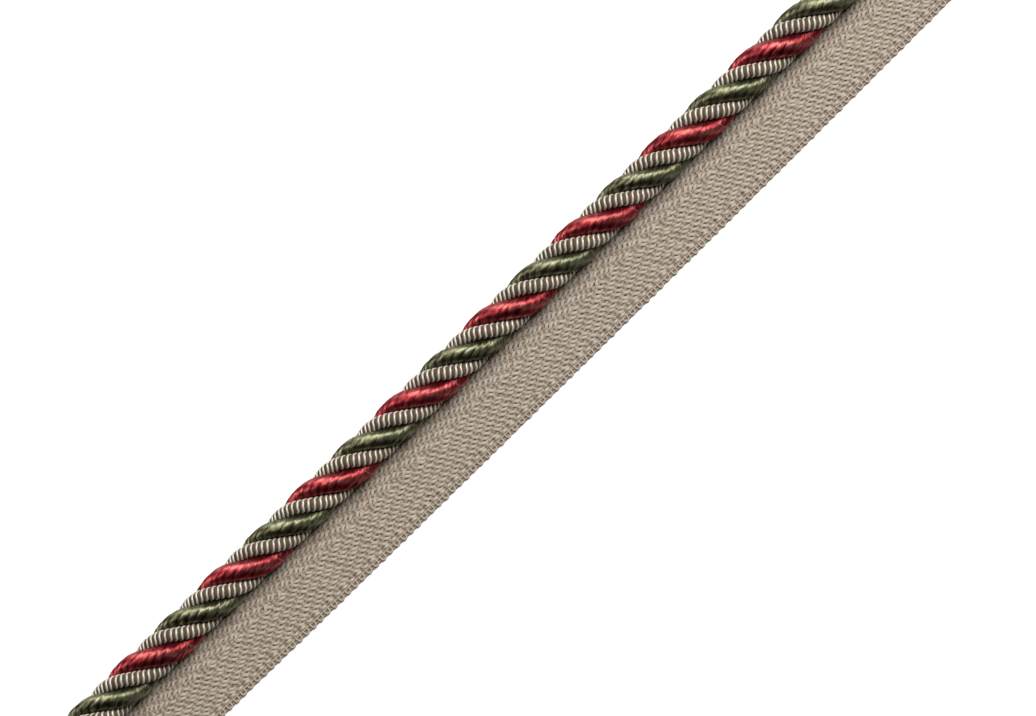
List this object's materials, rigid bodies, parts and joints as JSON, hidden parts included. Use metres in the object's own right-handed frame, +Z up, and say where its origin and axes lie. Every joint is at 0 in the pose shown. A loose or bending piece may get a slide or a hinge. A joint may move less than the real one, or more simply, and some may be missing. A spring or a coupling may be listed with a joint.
{
  "type": "twisted cord trim",
  "caption": "Cut length of twisted furnishing cord with red, olive and cream strands, and a woven herringbone tape along one side for sewing into a seam.",
  "frame": {"origin": "on the surface the trim lies on, under the middle of its box", "axes": "+X along the cord, +Z up off the surface, the tape towards -Y and the cord towards +Y"},
  "size_m": [0.285, 0.027, 0.0099],
  "materials": {
    "red_floss": "satin filament floss, wrapped, soft sheen",
    "cream_gimp": "cream shiny thread wrapped over a matte brown core",
    "olive_floss": "satin filament floss, wrapped, soft sheen",
    "tape": "matte beige cotton, two-and-two herringbone weave"
  },
  "bodies": {
    "root": {"red_floss_strand": "red_floss", "gimp_strand_1": "cream_gimp", "olive_floss_strand": "olive_floss", "gimp_strand_2": "cream_gimp", "herringbone_tape": "tape"}
  },
  "joints": []
}
